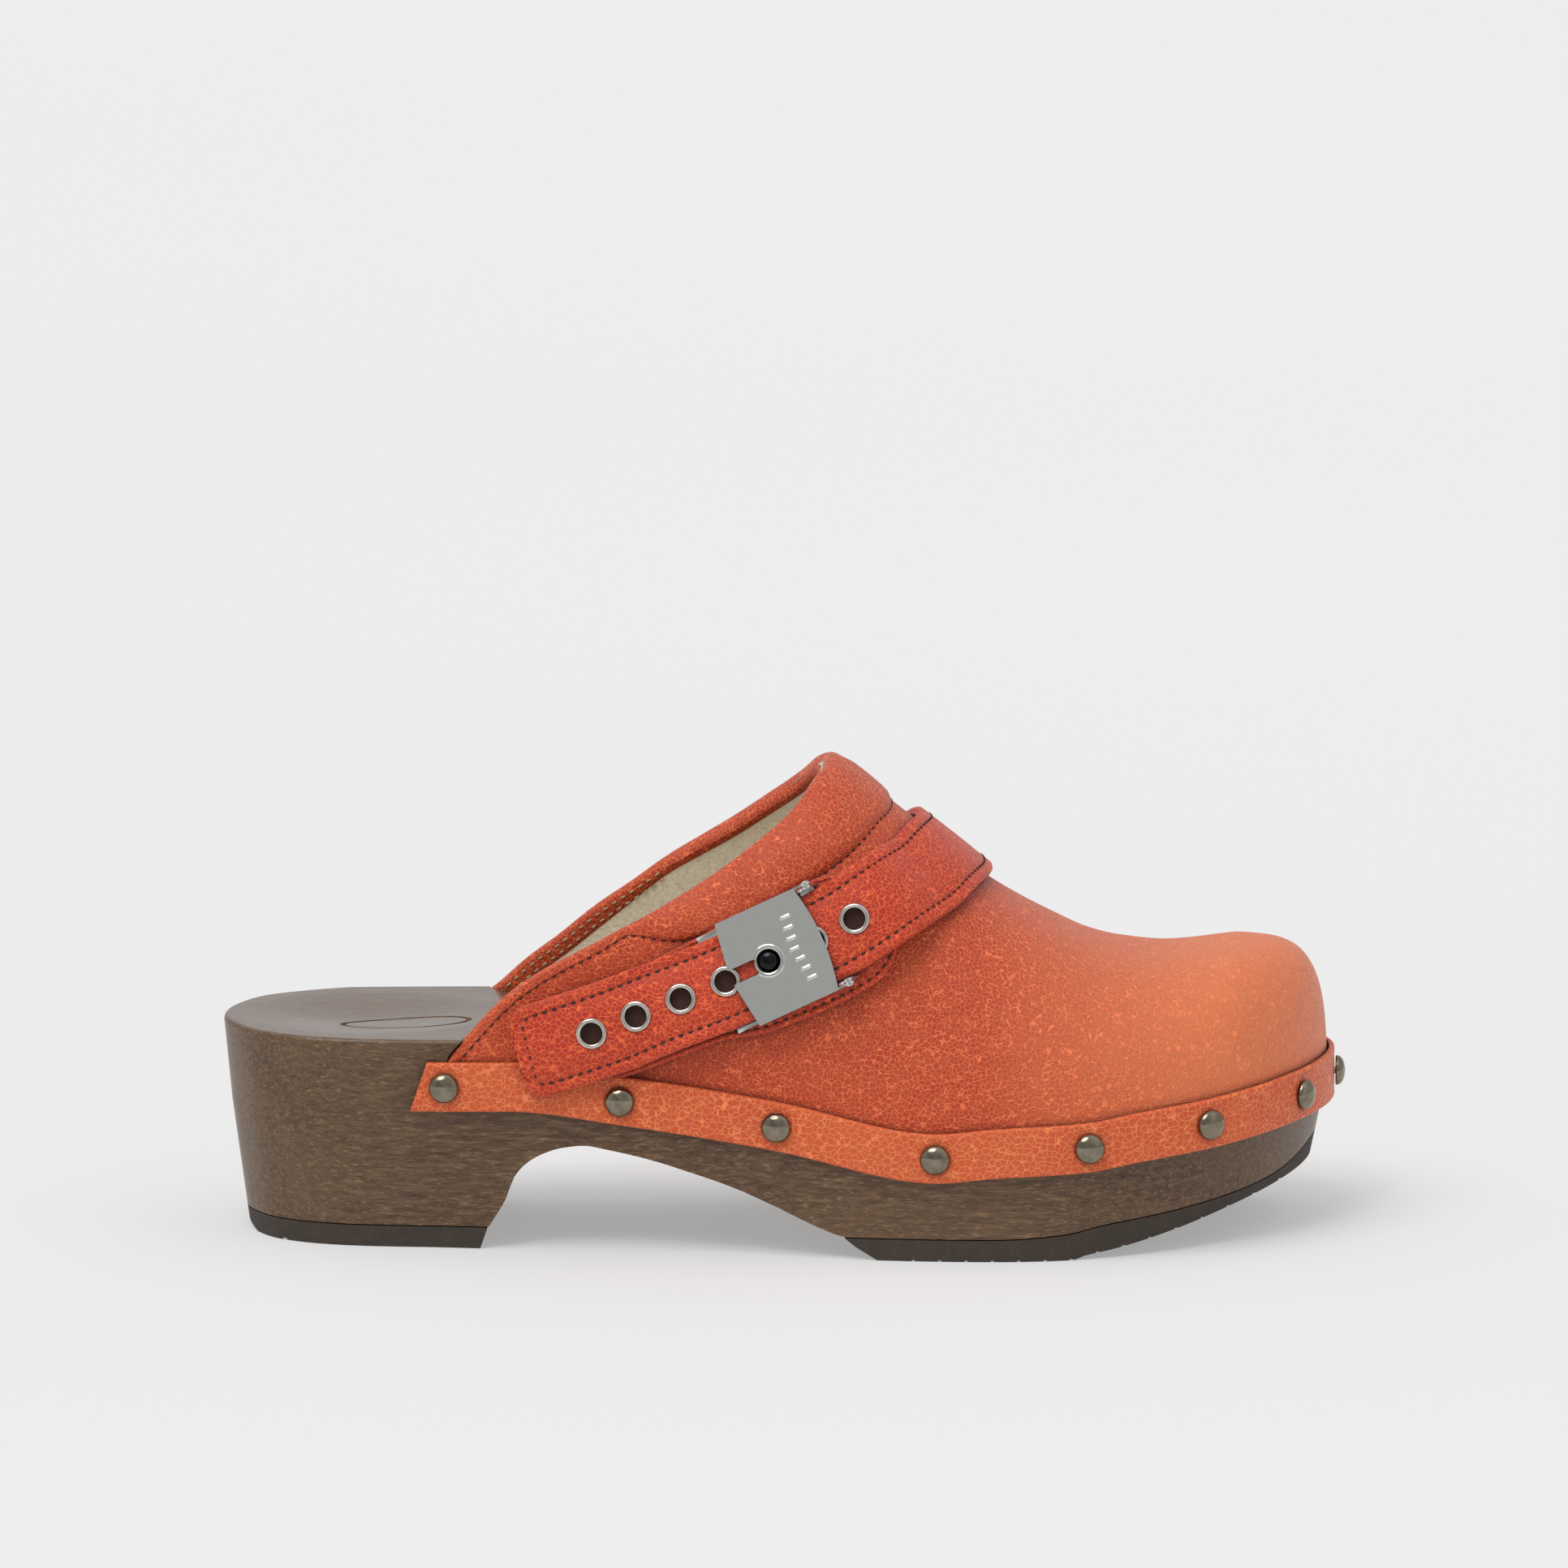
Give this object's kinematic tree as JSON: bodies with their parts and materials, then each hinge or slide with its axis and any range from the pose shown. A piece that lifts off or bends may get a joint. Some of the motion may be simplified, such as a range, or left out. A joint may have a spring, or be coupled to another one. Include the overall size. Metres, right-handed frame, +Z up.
{
  "type": "wooden clog",
  "caption": "Right-foot heeled wooden clog with a nailed leather upper, padded collar and an instep strap closed by a hinged flap buckle.",
  "frame": {"origin": "middle of the part's box, on the floor plane that the heel and the forefoot stand on", "axes": "+X to the toe, +Y to the inner side of the foot, +Z up; the buckle is on the outer side, -Y"},
  "size_m": [0.2612, 0.102, 0.1113],
  "materials": {
    "stained_wood": "satin dark stain",
    "tread_rubber": "matt, slightly speckled",
    "vamp_leather": "pebbled, semi-gloss",
    "rand_leather": "pebbled, semi-gloss",
    "strap_leather": "pebbled, semi-gloss",
    "suede_lining": "matt suede",
    "stiffener_board": "matt",
    "foam": "matt open-cell foam",
    "antique_brass": "dark antique polish",
    "eyelet_nickel": "polished",
    "nickel": "polished",
    "dark_steel": "black polish"
  },
  "bodies": {
    "shoe": {"wood_sole": "stained_wood", "heel_lift": "tread_rubber", "outsole": "tread_rubber", "upper": "vamp_leather", "lining": "suede_lining", "toe_puff": "stiffener_board", "collar": "vamp_leather", "collar_foam": "foam", "rand": "rand_leather", "nail_1": "antique_brass", "nail_2": "antique_brass", "nail_3": "antique_brass", "nail_4": "antique_brass", "nail_5": "antique_brass", "nail_6": "antique_brass", "nail_7": "antique_brass", "nail_8": "antique_brass", "nail_9": "antique_brass", "nail_10": "antique_brass", "nail_11": "antique_brass", "nail_12": "antique_brass", "nail_13": "antique_brass", "nail_14": "antique_brass", "nail_15": "antique_brass", "strap": "strap_leather", "eyelet_4": "eyelet_nickel", "eyelet_5": "eyelet_nickel", "eyelet_6": "eyelet_nickel", "eyelet_7": "eyelet_nickel", "buckle_tab": "strap_leather", "buckle_base": "nickel", "buckle_peg": "dark_steel", "hinge_pin_upper": "nickel", "hinge_pin_lower": "nickel", "rivet_rear": "nickel", "rivet_front": "nickel"},
    "flap": {"buckle_flap": "nickel"},
    "strap_end": {"strap_tail": "strap_leather", "eyelet_1": "eyelet_nickel", "eyelet_2": "eyelet_nickel", "eyelet_3": "eyelet_nickel"}
  },
  "joints": [
    {"name": "flap_hinge", "type": "hinge", "parent": "shoe", "child": "flap", "pos_m": [0.00951, -0.04355, 0.07694], "axis": [-0.4105, 0.2604, 0.8739], "range_deg": [0, 110]},
    {"name": "tail_flex", "type": "hinge", "parent": "shoe", "child": "strap_end", "pos_m": [-0.01915, -0.04162, 0.06322], "axis": [-0.3572, 0.2591, 0.8974], "range_deg": [0, 35], "stiffness_Nm_per_rad": 0.02}
  ]
}
